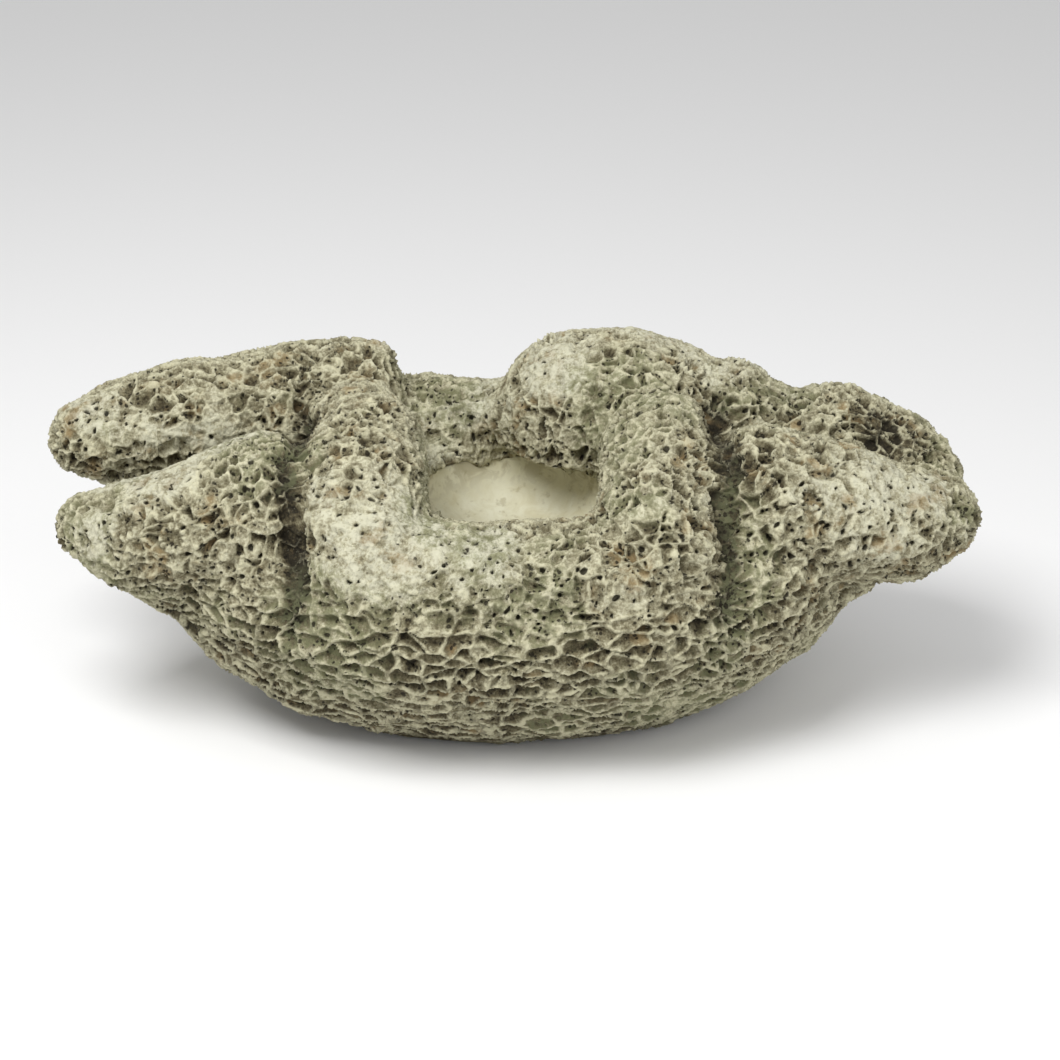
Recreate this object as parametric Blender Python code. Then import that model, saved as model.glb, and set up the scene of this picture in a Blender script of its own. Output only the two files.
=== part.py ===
"""Coral rock basin ornament: hollow resin castings bonded edge to edge over a hull, with a smooth basin
liner, a base plate and rubber pads. Units are metres, +Z is up, the front faces -Y."""

import math

import bmesh
import bpy
from mathutils import Matrix, Vector

for thing in list(bpy.data.objects):
    bpy.data.objects.remove(thing, do_unlink=True)

# Overall size of the coral body, and how far the pads hold it off the ground.
LENGTH = 0.560
DEPTH = 0.272
HEIGHT = 0.208
STAND_OFF = 0.002

# Resin walls and bond lines.
WALL = 0.009
BOND_GAP = 0.0003

# Basin liner, a smooth bowl bonded into a pocket under the coral edge.
BASIN_LENGTH = 0.124
BASIN_DEPTH = 0.124
BASIN_AT = (0.002, 0.004)
BASIN_CURVE = 2.6
LINER_WALL = 0.005
LINER_DEPTH = 0.036
EDGE_BELOW_RIM = 0.020
EDGE_OVERHANG = 0.007
EDGE_HEIGHT = 0.012
LEDGE_WIDTH = 0.020

# The hull meets the castings this far under the pocket.
SEAM_BELOW_POCKET = 0.007

# Base plate, flood holes and pads.
BASE_LENGTH = 0.200
BASE_DEPTH = 0.122
BASE_THICKNESS = 0.006
FLOOD_HOLE_RADIUS = 0.006
FLOOD_HOLE_SPACING = 0.076
PAD_RADIUS = 0.011
PAD_SOCKET_DEPTH = 0.002
PAD_SPACING_X = 0.120
PAD_SPACING_Y = 0.064

# Surface: facet control of the coral skins.
VOXEL = 0.004
OUTER_FACES = 3800
INNER_FACES = 1100
SWELL_HEIGHT = 0.007
SWELL_SIZE = 0.045
ROUND_STEPS = 32
BALL_STEPS = 6
SMALLEST_BALL = 0.004
SHARP_ANGLE = 40
LIMIT = 1.0  # past the body on every side

# The body is drawn at about full size and then stretched to LENGTH, DEPTH and HEIGHT.
# Eggs: centre x, y, z and half sizes x, y, up, down.
EGGS = {
    "belly": (-0.004, 0.0, 0.104, 0.217, 0.130, 0.030, 0.124),
    "shoulder_bump": (-0.086, 0.072, 0.188, 0.017, 0.015, 0.014, 0.014),
}
# Fingers: stretch in depth, and the points that a row of balls follows, each x, y, z, radius.
FINGERS = {
    "left_back_wing": (
        1.15,
        [
            (-0.256, 0.033, 0.151, 0.025),
            (-0.219, 0.047, 0.153, 0.035),
            (-0.171, 0.057, 0.157, 0.036),
            (-0.135, 0.062, 0.155, 0.038),
        ],
    ),
    "left_shoulder": (
        1.05,
        [(-0.150, 0.068, 0.158, 0.036), (-0.125, 0.070, 0.162, 0.036), (-0.100, 0.072, 0.165, 0.035)],
    ),
    "left_front_wing": (
        1.15,
        [
            (-0.248, -0.036, 0.124, 0.021),
            (-0.219, -0.041, 0.122, 0.031),
            (-0.176, -0.042, 0.130, 0.040),
            (-0.136, -0.042, 0.142, 0.042),
        ],
    ),
    "left_keel": (1.0, [(-0.214, -0.018, 0.104, 0.032), (-0.168, -0.014, 0.093, 0.046)]),
    "left_knuckle": (
        1.0,
        [
            (-0.094, 0.030, 0.150, 0.036),
            (-0.088, -0.005, 0.158, 0.036),
            (-0.086, -0.046, 0.152, 0.037),
            (-0.084, -0.076, 0.130, 0.040),
            (-0.080, -0.080, 0.100, 0.044),
        ],
    ),
    "front_rim": (
        1.1,
        [
            (-0.080, -0.084, 0.112, 0.036),
            (-0.040, -0.088, 0.114, 0.036),
            (0.0, -0.089, 0.113, 0.036),
            (0.040, -0.088, 0.114, 0.036),
            (0.080, -0.084, 0.112, 0.036),
        ],
    ),
    "front_apron": (
        1.0,
        [
            (-0.132, -0.052, 0.098, 0.050),
            (-0.070, -0.076, 0.092, 0.054),
            (0.0, -0.081, 0.090, 0.053),
            (0.070, -0.076, 0.092, 0.054),
            (0.132, -0.052, 0.098, 0.050),
        ],
    ),
    "back_apron": (
        1.0,
        [
            (-0.132, 0.052, 0.098, 0.050),
            (-0.070, 0.074, 0.092, 0.052),
            (0.0, 0.080, 0.090, 0.052),
            (0.070, 0.074, 0.092, 0.052),
            (0.132, 0.052, 0.098, 0.050),
        ],
    ),
    "right_knuckle": (
        1.0,
        [
            (0.094, 0.028, 0.148, 0.037),
            (0.088, -0.005, 0.156, 0.036),
            (0.086, -0.046, 0.150, 0.036),
            (0.084, -0.076, 0.128, 0.040),
            (0.080, -0.080, 0.098, 0.044),
        ],
    ),
    "right_front_wing": (
        1.15,
        [
            (0.252, -0.028, 0.127, 0.025),
            (0.225, -0.032, 0.125, 0.033),
            (0.185, -0.036, 0.137, 0.039),
            (0.148, -0.038, 0.144, 0.042),
        ],
    ),
    "right_keel": (1.0, [(0.214, -0.006, 0.108, 0.030), (0.168, -0.012, 0.096, 0.044)]),
    "right_back_wing": (
        1.15,
        [
            (0.252, 0.012, 0.135, 0.020),
            (0.228, 0.026, 0.144, 0.031),
            (0.196, 0.038, 0.149, 0.033),
            (0.175, 0.044, 0.138, 0.034),
        ],
    ),
    "right_shoulder": (1.1, [(0.165, 0.050, 0.137, 0.036), (0.135, 0.058, 0.153, 0.038)]),
    "back_dome": (
        1.0,
        [(0.044, 0.062, 0.152, 0.055), (0.066, 0.062, 0.153, 0.056), (0.092, 0.060, 0.150, 0.051)],
    ),
    "back_rim": (
        1.1,
        [(-0.078, 0.084, 0.138, 0.031), (-0.040, 0.087, 0.137, 0.031), (0.010, 0.086, 0.137, 0.031)],
    ),
}
FRONT_RIM_TOP = 0.149

# Clefts where the castings meet, as lines of constant x or y in the drawn body.
LEFT_ROOT = -0.150
LEFT_CLEFT = -0.124
DROP = -0.066
BASIN_LEFT = -0.050
SADDLE = -0.005
BASIN_RIGHT = 0.050
RIGHT_CLEFT = 0.124
RIGHT_ROOT = 0.178
LEFT_WING_LINE = 0.001
RIGHT_WING_LINE = 0.006
KNUCKLE_BACK = 0.035
BASIN_MIDDLE = 0.004

# Plan outline of each casting, anticlockwise.
OUTLINES = {
    "left_front_wing": [
        (-LIMIT, -LIMIT),
        (LEFT_CLEFT, -LIMIT),
        (LEFT_CLEFT, LEFT_WING_LINE),
        (-LIMIT, LEFT_WING_LINE),
    ],
    "left_back_wing": [
        (-LIMIT, LEFT_WING_LINE),
        (LEFT_ROOT, LEFT_WING_LINE),
        (LEFT_ROOT, LIMIT),
        (-LIMIT, LIMIT),
    ],
    "left_shoulder": [
        (LEFT_ROOT, LEFT_WING_LINE),
        (LEFT_CLEFT, LEFT_WING_LINE),
        (LEFT_CLEFT, KNUCKLE_BACK),
        (DROP, KNUCKLE_BACK),
        (DROP, LIMIT),
        (LEFT_ROOT, LIMIT),
    ],
    "left_knuckle": [
        (LEFT_CLEFT, -LIMIT),
        (BASIN_LEFT, -LIMIT),
        (BASIN_LEFT, KNUCKLE_BACK),
        (LEFT_CLEFT, KNUCKLE_BACK),
    ],
    "front_rim": [
        (BASIN_LEFT, -LIMIT),
        (BASIN_RIGHT, -LIMIT),
        (BASIN_RIGHT, BASIN_MIDDLE),
        (BASIN_LEFT, BASIN_MIDDLE),
    ],
    "back_rim": [
        (BASIN_LEFT, BASIN_MIDDLE),
        (SADDLE, BASIN_MIDDLE),
        (SADDLE, LIMIT),
        (DROP, LIMIT),
        (DROP, KNUCKLE_BACK),
        (BASIN_LEFT, KNUCKLE_BACK),
    ],
    "back_dome": [
        (SADDLE, BASIN_MIDDLE),
        (BASIN_RIGHT, BASIN_MIDDLE),
        (BASIN_RIGHT, KNUCKLE_BACK),
        (RIGHT_CLEFT, KNUCKLE_BACK),
        (RIGHT_CLEFT, LIMIT),
        (SADDLE, LIMIT),
    ],
    "right_knuckle": [
        (BASIN_RIGHT, -LIMIT),
        (RIGHT_CLEFT, -LIMIT),
        (RIGHT_CLEFT, KNUCKLE_BACK),
        (BASIN_RIGHT, KNUCKLE_BACK),
    ],
    "right_front_wing": [
        (RIGHT_CLEFT, -LIMIT),
        (LIMIT, -LIMIT),
        (LIMIT, RIGHT_WING_LINE),
        (RIGHT_CLEFT, RIGHT_WING_LINE),
    ],
    "right_shoulder": [
        (RIGHT_CLEFT, RIGHT_WING_LINE),
        (RIGHT_ROOT, RIGHT_WING_LINE),
        (RIGHT_ROOT, LIMIT),
        (RIGHT_CLEFT, LIMIT),
    ],
    "right_back_wing": [
        (RIGHT_ROOT, RIGHT_WING_LINE),
        (LIMIT, RIGHT_WING_LINE),
        (LIMIT, LIMIT),
        (RIGHT_ROOT, LIMIT),
    ],
}

CORAL_COLOURS = {
    "left_front_wing": (0.50, 0.49, 0.40),
    "left_back_wing": (0.47, 0.46, 0.37),
    "left_shoulder": (0.52, 0.51, 0.43),
    "left_knuckle": (0.55, 0.53, 0.43),
    "front_rim": (0.51, 0.49, 0.38),
    "back_rim": (0.42, 0.41, 0.31),
    "back_dome": (0.49, 0.48, 0.39),
    "right_knuckle": (0.53, 0.51, 0.40),
    "right_front_wing": (0.50, 0.50, 0.42),
    "right_shoulder": (0.45, 0.43, 0.33),
    "right_back_wing": (0.51, 0.50, 0.41),
}
HULL_COLOUR = (0.40, 0.38, 0.29)
LINER_COLOUR = (0.60, 0.58, 0.48)
BASE_COLOUR = (0.22, 0.21, 0.18)
RUBBER_COLOUR = (0.03, 0.03, 0.03)


def solid_object(name, mesh):
    obj = bpy.data.objects.new(name, mesh)
    bpy.context.scene.collection.objects.link(obj)
    return obj


def helper(obj):
    obj.hide_render = True
    obj.display_type = "WIRE"
    return obj


def mesh_of(bm, name):
    bmesh.ops.recalc_face_normals(bm, faces=bm.faces)
    mesh = bpy.data.meshes.new(name)
    bm.to_mesh(mesh)
    bm.free()
    return mesh


def baked(obj, name):
    """A plain mesh of what the object's modifiers make, with the object and its modifiers gone."""
    bpy.context.view_layer.update()
    graph = bpy.context.evaluated_depsgraph_get()
    mesh = bpy.data.meshes.new_from_object(obj.evaluated_get(graph))
    mesh.name = name
    bpy.data.objects.remove(obj, do_unlink=True)
    return mesh


def boolean(obj, operation, other, solver="EXACT"):
    step = obj.modifiers.new(f"{operation.lower()} {other.name}", "BOOLEAN")
    step.operation = operation
    step.solver = solver
    step.object = other


def coral_boolean(obj, operation, other):
    """A cut of a melted skin. Its slivers upset the exact solver, and both meshes here are closed."""
    boolean(obj, operation, other, "MANIFOLD")


def finished(obj, colour, roughness):
    material = bpy.data.materials.new(obj.name)
    material.use_nodes = True
    shader = material.node_tree.nodes["Principled BSDF"]
    shader.inputs["Base Color"].default_value = (*colour, 1.0)
    shader.inputs["Roughness"].default_value = roughness
    shader.inputs["Metallic"].default_value = 0.0
    obj.data.materials.clear()
    obj.data.materials.append(material)
    obj.data.shade_smooth()
    obj.data.set_sharp_from_angle(angle=math.radians(SHARP_ANGLE))
    return obj


def spline(points, steps):
    """Points on a smooth curve through the given ones, with the radius carried along."""
    known = [Vector(p) for p in points]
    known = [2 * known[0] - known[1], *known, 2 * known[-1] - known[-2]]
    found = []
    for before, start, end, after in zip(known, known[1:], known[2:], known[3:]):
        for k in range(steps):
            t = k / steps
            found.append(
                0.5
                * (
                    2 * start
                    + (end - before) * t
                    + (2 * before - 5 * start + 4 * end - after) * t**2
                    + (3 * start - before - 3 * end + after) * t**3
                )
            )
    return [*found, known[-2]]


def add_egg(bm, centre, half, up, down, detail):
    made = bmesh.ops.create_icosphere(bm, subdivisions=detail, radius=1.0)["verts"]
    for vert in made:
        vert.co.z *= up if vert.co.z > 0 else down
        vert.co.x *= half[0]
        vert.co.y *= half[1]
    bmesh.ops.translate(bm, verts=made, vec=centre)


def body_mesh(inset, faces, swell):
    """The lobed body, every lobe smaller by inset, melted into one skin of about this many faces."""
    bm = bmesh.new()
    for x, y, z, half_x, half_y, up, down in EGGS.values():
        if min(half_x, half_y, up, down) - inset > SMALLEST_BALL:
            add_egg(bm, (x, y, z), (half_x - inset, half_y - inset), up - inset, down - inset, 5)
    for stretch, points in FINGERS.values():
        for x, y, z, radius in spline(points, BALL_STEPS):
            r = radius - inset
            if r > SMALLEST_BALL:
                add_egg(bm, (x, y, z), (r, r * stretch), r, r, 3)
    body = solid_object("body", mesh_of(bm, "body"))
    melt = body.modifiers.new("melt", "REMESH")
    melt.mode = "VOXEL"
    melt.voxel_size = VOXEL
    soften = body.modifiers.new("soften", "SMOOTH")
    soften.factor = 0.5
    soften.iterations = 10
    if swell:
        clouds = bpy.data.textures.new("swell", "CLOUDS")
        clouds.noise_scale = SWELL_SIZE
        rise = body.modifiers.new("rise", "DISPLACE")
        rise.texture = clouds
        rise.texture_coords = "LOCAL"
        rise.strength = SWELL_HEIGHT
        rise.mid_level = 0.5
    fine = baked(body, "fine")
    body = solid_object("body", fine)
    thin = body.modifiers.new("thin", "DECIMATE")
    thin.ratio = faces / (2 * len(fine.polygons))
    return baked(body, "skin")


def drawing_to_size(mesh):
    """The stretch that gives the drawn body its length, depth and height over the ground."""
    low = [min(v.co[k] for v in mesh.vertices) for k in range(3)]
    high = [max(v.co[k] for v in mesh.vertices) for k in range(3)]
    scale = [LENGTH / (high[0] - low[0]), DEPTH / (high[1] - low[1]), HEIGHT / high[2]]
    middle = Vector(((low[0] + high[0]) / 2, (low[1] + high[1]) / 2, 0.0))
    return Matrix.Diagonal((*scale, 1.0)) @ Matrix.Translation(-middle)


def turned(name, profile, centre=BASIN_AT):
    """A closed oval turning of a profile of half lengths, half depths and heights, bottom pole first."""
    bm = bmesh.new()
    rings = []
    for half_x, half_y, z in profile:
        if half_x <= 0:
            rings.append([bm.verts.new((centre[0], centre[1], z))])
            continue
        angles = [2 * math.pi * k / ROUND_STEPS for k in range(ROUND_STEPS)]
        rings.append(
            [
                bm.verts.new((centre[0] + half_x * math.cos(a), centre[1] + half_y * math.sin(a), z))
                for a in angles
            ]
        )
    for lower, upper in zip(rings, rings[1:]):
        for k in range(ROUND_STEPS):
            corners = [lower[k % len(lower)], lower[(k + 1) % len(lower)]]
            corners += [upper[(k + 1) % len(upper)], upper[k % len(upper)]]
            bm.faces.new(dict.fromkeys(corners))
    return solid_object(name, mesh_of(bm, name))


def bowl_profile(grow, floor, edge, rows=6):
    """Half sizes and heights up the side of the basin bowl, from its centre to its edge."""
    profile = []
    for k in range(rows + 1):
        share = (k / rows) ** 2
        reach = (1 - (1 - share) ** BASIN_CURVE) ** (1 / BASIN_CURVE)
        height = floor + (edge - floor) * share
        profile.append(((BASIN_LENGTH / 2 + grow) * reach, (BASIN_DEPTH / 2 + grow) * reach, height))
    return profile


def upright(name, corners, low, high):
    """A closed solid that stands on a plan outline."""
    bm = bmesh.new()
    base = bm.faces.new([bm.verts.new((x, y, low)) for x, y in corners])
    grown = bmesh.ops.extrude_face_region(bm, geom=[base])["geom"]
    raised = [v for v in grown if isinstance(v, bmesh.types.BMVert)]
    bmesh.ops.translate(bm, verts=raised, vec=(0, 0, high - low))
    return solid_object(name, mesh_of(bm, name))


def oval_block(name, length, depth, low, high, centre=(0.0, 0.0)):
    # Half a step on from the turnings, so that no side of one runs along a side of the other.
    angles = [2 * math.pi * (k + 0.5) / ROUND_STEPS for k in range(ROUND_STEPS)]
    corners = [
        (centre[0] + length / 2 * math.cos(a), centre[1] + depth / 2 * math.sin(a)) for a in angles
    ]
    return upright(name, corners, low, high)


def prism(name, outline, low, high):
    """A cutter on a plan outline of square corners, drawn in by half a bond gap all round."""
    corners = []
    for before, corner, after in zip(outline[-1:] + outline[:-1], outline, outline[1:] + outline[:1]):
        into = Vector((0.0, 0.0))
        for start, end in ((before, corner), (corner, after)):
            along = (Vector(end) - Vector(start)).normalized()
            into += Vector((-along.y, along.x))
        corners.append(Vector(corner) + into * (BOND_GAP / 2))
    return helper(upright(name, corners, low, high))


# The body's outer skin and the hollow inside it.
outer = body_mesh(0.0, OUTER_FACES, True)
to_size = drawing_to_size(outer)
outer.transform(to_size)
hollow = body_mesh(WALL, INNER_FACES, False)
hollow.transform(to_size)

# Heights that follow from the rim.
edge_z = (to_size @ Vector((0, 0, FRONT_RIM_TOP))).z - EDGE_BELOW_RIM
pocket_z = edge_z - LINER_DEPTH - LINER_WALL - BOND_GAP
seam_z = pocket_z - WALL - SEAM_BELOW_POCKET

# Basin pocket: the liner's bowl and a bond gap, then the coral edge that overhangs it.
pocket_side = bowl_profile(BOND_GAP, pocket_z, edge_z + BOND_GAP)
opening = (BASIN_LENGTH / 2 - EDGE_OVERHANG, BASIN_DEPTH / 2 - EDGE_OVERHANG)
pocket = helper(
    turned(
        "pocket",
        [
            *pocket_side,
            (*opening, edge_z + BOND_GAP),
            (*opening, edge_z + EDGE_HEIGHT),
            (0, 0, edge_z + EDGE_HEIGHT),
        ],
    )
)
wall_top = edge_z + EDGE_HEIGHT + WALL
pocket_wall = helper(
    turned("pocket_wall", [*bowl_profile(BOND_GAP + WALL, pocket_z - WALL, wall_top), (0, 0, wall_top)])
)
ledge = (BASIN_LENGTH - 2 * LEDGE_WIDTH, BASIN_DEPTH - 2 * LEDGE_WIDTH)
well = helper(oval_block("well", *ledge, seam_z, pocket_z + WALL, BASIN_AT))

hollow_body = solid_object("hollow_body", hollow)
coral_boolean(hollow_body, "DIFFERENCE", pocket_wall)
hollow_space = helper(solid_object("hollow_space", baked(hollow_body, "hollow_space")))

shell_body = solid_object("shell_body", outer)
for cutter in (hollow_space, pocket, well):
    coral_boolean(shell_body, "DIFFERENCE", cutter)
shell = baked(shell_body, "shell")


def in_drawing(outline):
    return [(to_size @ Vector((x, y, 0.0))).to_2d() for x, y in outline]


for name, outline in OUTLINES.items():
    region = prism(f"region_{name}", [tuple(p) for p in in_drawing(outline)], seam_z + BOND_GAP / 2, LIMIT)
    casting = solid_object(name, shell.copy())
    coral_boolean(casting, "INTERSECT", region)
    finished(casting, CORAL_COLOURS[name], 0.9)

# Hull under the castings, with a rebate for the base plate.
base_top = STAND_OFF + BASE_THICKNESS
whole = [(-LIMIT, -LIMIT), (LIMIT, -LIMIT), (LIMIT, LIMIT), (-LIMIT, LIMIT)]
hull = solid_object("hull", shell.copy())
coral_boolean(hull, "INTERSECT", prism("region_hull", whole, STAND_OFF, seam_z - BOND_GAP / 2))
rebate = helper(
    oval_block(
        "rebate", BASE_LENGTH + 2 * BOND_GAP, BASE_DEPTH + 2 * BOND_GAP, -STAND_OFF, base_top + BOND_GAP
    )
)
coral_boolean(hull, "DIFFERENCE", rebate)
finished(hull, HULL_COLOUR, 0.9)

# Basin liner.
liner_inner = bowl_profile(-LINER_WALL, pocket_z + BOND_GAP + LINER_WALL, edge_z)
liner_outer = bowl_profile(0.0, pocket_z + BOND_GAP, edge_z)
liner = turned("basin_liner", [*liner_outer, *reversed(liner_inner)])
finished(liner, LINER_COLOUR, 0.6)

# Base plate with flood holes and pad sockets.
base_plate = oval_block("base_plate", BASE_LENGTH, BASE_DEPTH, STAND_OFF, base_top)
for side in (-1, 1):
    hole = oval_block(
        f"flood_hole_{side}",
        2 * FLOOD_HOLE_RADIUS,
        2 * FLOOD_HOLE_RADIUS,
        -base_top,
        2 * base_top,
        (side * FLOOD_HOLE_SPACING / 2, 0.0),
    )
    boolean(base_plate, "DIFFERENCE", helper(hole))
corners = {"front_left": (-1, -1), "front_right": (1, -1), "back_left": (-1, 1), "back_right": (1, 1)}
for corner, (side_x, side_y) in corners.items():
    place = (side_x * PAD_SPACING_X / 2, side_y * PAD_SPACING_Y / 2)
    across = 2 * (PAD_RADIUS + BOND_GAP)
    socket = oval_block(
        f"socket_{corner}", across, across, -STAND_OFF, STAND_OFF + PAD_SOCKET_DEPTH + BOND_GAP, place
    )
    boolean(base_plate, "DIFFERENCE", helper(socket))
    pad_top = STAND_OFF + PAD_SOCKET_DEPTH
    pad = oval_block(f"pad_{corner}", 2 * PAD_RADIUS, 2 * PAD_RADIUS, 0.0, pad_top, place)
    finished(pad, RUBBER_COLOUR, 0.8)
finished(base_plate, BASE_COLOUR, 0.85)
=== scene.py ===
import math

import bpy
import numpy as np
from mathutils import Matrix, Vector, kdtree


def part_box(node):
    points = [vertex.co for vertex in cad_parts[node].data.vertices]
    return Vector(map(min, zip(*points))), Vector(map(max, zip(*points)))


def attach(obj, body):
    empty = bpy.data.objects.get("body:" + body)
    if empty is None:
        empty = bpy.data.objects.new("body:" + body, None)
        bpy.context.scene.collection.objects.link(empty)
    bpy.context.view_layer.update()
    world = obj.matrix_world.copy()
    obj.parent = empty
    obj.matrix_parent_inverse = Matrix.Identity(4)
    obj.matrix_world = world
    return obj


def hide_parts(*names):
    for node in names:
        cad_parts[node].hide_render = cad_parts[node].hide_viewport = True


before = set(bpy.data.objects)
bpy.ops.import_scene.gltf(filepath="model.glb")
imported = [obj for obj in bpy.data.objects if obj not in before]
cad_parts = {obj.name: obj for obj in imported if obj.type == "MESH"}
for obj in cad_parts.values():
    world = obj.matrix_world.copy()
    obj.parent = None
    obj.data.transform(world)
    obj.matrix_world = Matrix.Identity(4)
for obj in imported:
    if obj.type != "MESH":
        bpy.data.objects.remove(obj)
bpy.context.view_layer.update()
print("frame loaded")

bondGap = 0.0003  # the adhesive that the CAD leaves room for
far = 0.5  # past the object on every side
clear = 0.00002  # half the hairline that is left at a seam

castings = [
    "left_front_wing", "left_back_wing", "left_shoulder", "left_knuckle", "front_rim", "back_rim",
    "back_dome", "right_knuckle", "right_front_wing", "right_shoulder", "right_back_wing",
]
linerLow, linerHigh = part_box("basin_liner")
plateLow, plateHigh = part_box("base_plate")
hullLow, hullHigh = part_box("hull")
bowlMiddle = (linerLow + linerHigh) / 2
plateMiddle = (plateLow + plateHigh) / 2


def deselectAll():
    if bpy.context.mode != "OBJECT":
        bpy.ops.object.mode_set(mode="OBJECT")
    bpy.ops.object.select_all(action="DESELECT")


def pick(*pieces):
    deselectAll()
    for piece in pieces:
        piece.select_set(True)
    bpy.context.view_layer.objects.active = pieces[0]


def editAll(piece):
    pick(piece)
    bpy.ops.object.mode_set(mode="EDIT")
    bpy.ops.mesh.select_all(action="SELECT")


def applyModifier(piece, kind, **settings):
    pick(piece)
    step = piece.modifiers.new(kind.lower(), kind)
    for name, value in settings.items():
        setattr(step, name, value)
    bpy.ops.object.modifier_apply(modifier=step.name)


def mergedCopy(node):
    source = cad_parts[node]
    copy = bpy.data.objects.new("copy " + node, source.data.copy())
    bpy.context.scene.collection.objects.link(copy)
    copy.data.materials.clear()
    editAll(copy)
    bpy.ops.mesh.remove_doubles(threshold=0.000001)
    bpy.ops.object.mode_set(mode="OBJECT")
    return copy


def pointsOf(mesh):
    points = np.empty(len(mesh.vertices) * 3, np.float32)
    mesh.vertices.foreach_get("co", points)
    return points.reshape(-1, 3)


def normalsOf(mesh):
    normals = np.empty(len(mesh.vertices) * 3, np.float32)
    mesh.vertices.foreach_get("normal", normals)
    return normals.reshape(-1, 3)


def setPoints(mesh, points):
    mesh.vertices.foreach_set("co", np.asarray(points, np.float32).ravel())
    mesh.update()


def setAttribute(mesh, name, values):
    attribute = mesh.attributes.get(name) or mesh.attributes.new(name, "FLOAT", "POINT")
    attribute.data.foreach_set("value", np.asarray(values, np.float32))


def ovalBlock(name, halfX, halfY, middle, low, high):
    deselectAll()
    bpy.ops.mesh.primitive_cylinder_add(
        vertices=96, radius=1.0, depth=high - low, location=(middle.x, middle.y, (low + high) / 2)
    )
    block = bpy.context.object
    block.name = name
    block.scale = (halfX, halfY, 1.0)
    bpy.ops.object.transform_apply(location=True, rotation=True, scale=True)
    return block


def cut(piece, other, operation):
    applyModifier(piece, "BOOLEAN", operation=operation, solver="MANIFOLD", object=other)
    bpy.data.objects.remove(other)


def looseParts(piece):
    editAll(piece)
    bpy.ops.mesh.separate(type="LOOSE")
    bpy.ops.object.mode_set(mode="OBJECT")
    return sorted(bpy.context.selected_objects, key=lambda part: -len(part.data.vertices))


# The castings, the hull and two plugs melt into one solid body, whose outside becomes the coral skin.
# Melting fills the hollow, so the hollow comes from joining the same pieces without melting.
skinSettings = {
    "grow": 0.0006,  # closes the bond gaps
    "voxel": 0.002,
    "softenings": 16,
    "wellRadius": 0.046,
    "wellDepth": 0.004,
}


def swollenPieces():
    s = skinSettings
    plateHalf = (plateHigh - plateLow) / 2 + Vector((2, 2, 0)) * s["grow"]
    floor = linerLow.z
    pieces = [mergedCopy(node) for node in ["hull"] + castings]
    for piece in pieces:
        applyModifier(piece, "DISPLACE", strength=s["grow"], mid_level=0.0)
    return pieces + [
        ovalBlock("plate plug", plateHalf.x, plateHalf.y, plateMiddle, plateLow.z, plateHigh.z + s["grow"]),
        ovalBlock("well plug", s["wellRadius"], s["wellRadius"], bowlMiddle, floor - s["wellDepth"], floor),
    ]


def meltedSkin():
    pick(*swollenPieces())
    bpy.ops.object.join()
    skin = bpy.context.view_layer.objects.active
    skin.name = "skin"
    applyModifier(skin, "REMESH", mode="VOXEL", voxel_size=skinSettings["voxel"])
    applyModifier(skin, "SMOOTH", factor=0.5, iterations=skinSettings["softenings"])
    applyModifier(skin, "SUBSURF", levels=1, render_levels=1)
    return skin


def sealedHollow():
    body, *others = swollenPieces()
    for other in others:
        cut(body, other, "UNION")
    outside, room, *specks = looseParts(body)
    print("hollow", len(room.data.polygons), "faces")
    for part in [outside, *specks]:
        bpy.data.objects.remove(part)
    editAll(room)
    bpy.ops.mesh.flip_normals()
    bpy.ops.object.mode_set(mode="OBJECT")
    return room


hollow = sealedHollow()
skin = meltedSkin()
print("skin", len(skin.data.polygons), "faces")


# The liner's seat, cut out exactly so that the smooth bowl fits.
def seatForm():
    seat = mergedCopy("basin_liner")
    editAll(seat)
    bpy.ops.mesh.convex_hull()
    bpy.ops.object.mode_set(mode="OBJECT")
    applyModifier(seat, "DISPLACE", strength=bondGap, mid_level=0.0)
    return seat


cut(skin, seatForm(), "DIFFERENCE")
print("liner seat cut", len(skin.data.polygons), "faces")


def smooth(low, high, x):
    t = np.clip((x - low) / (high - low), 0.0, 1.0)
    return t * t * (3.0 - 2.0 * t)


# Points in cells of this size, the cell that each is in, and three random numbers for each cell.
def latticeOf(points, size, seed):
    scaled = points / np.float32(size)
    cell = np.floor(scaled).astype(np.int32)
    lowest = cell.min(axis=0) - 1
    counts = cell.max(axis=0) - lowest + 2
    table = np.random.default_rng(seed).random((*counts, 3), dtype=np.float32)
    return scaled - lowest.astype(np.float32), cell - lowest, table


# Smooth noise from -1 to 1 with lumps of this size.
def lumps(points, size, seed):
    scaled, cell, table = latticeOf(points, size, seed)
    values = table[..., 0]
    part = scaled - cell
    part = part * part * (3.0 - 2.0 * part)
    total = np.zeros(len(points), np.float32)
    for dx in (0, 1):
        wx = part[:, 0] if dx else 1 - part[:, 0]
        for dy in (0, 1):
            wxy = wx * (part[:, 1] if dy else 1 - part[:, 1])
            for dz in (0, 1):
                weight = wxy * (part[:, 2] if dz else 1 - part[:, 2])
                total += weight * values[cell[:, 0] + dx, cell[:, 1] + dy, cell[:, 2] + dz]
    return 2.0 * total - 1.0


def layered(points, size, seed, layers=3):
    total = sum(lumps(points, size / 2**k, seed + 100 * k) * 0.5**k for k in range(layers))
    return total / (2.0 - 2.0 ** (1 - layers))


# Distance to the nearest cell middle and to the wall round that cell, the offset from the middle,
# and the cell's own random numbers.
def cellsAt(points, size, seed, jitter=0.85):
    found = [cellsOf(chunk, size, seed, jitter, points) for chunk in np.array_split(points, 24)]
    return [np.concatenate(column) for column in zip(*found)]


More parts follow.
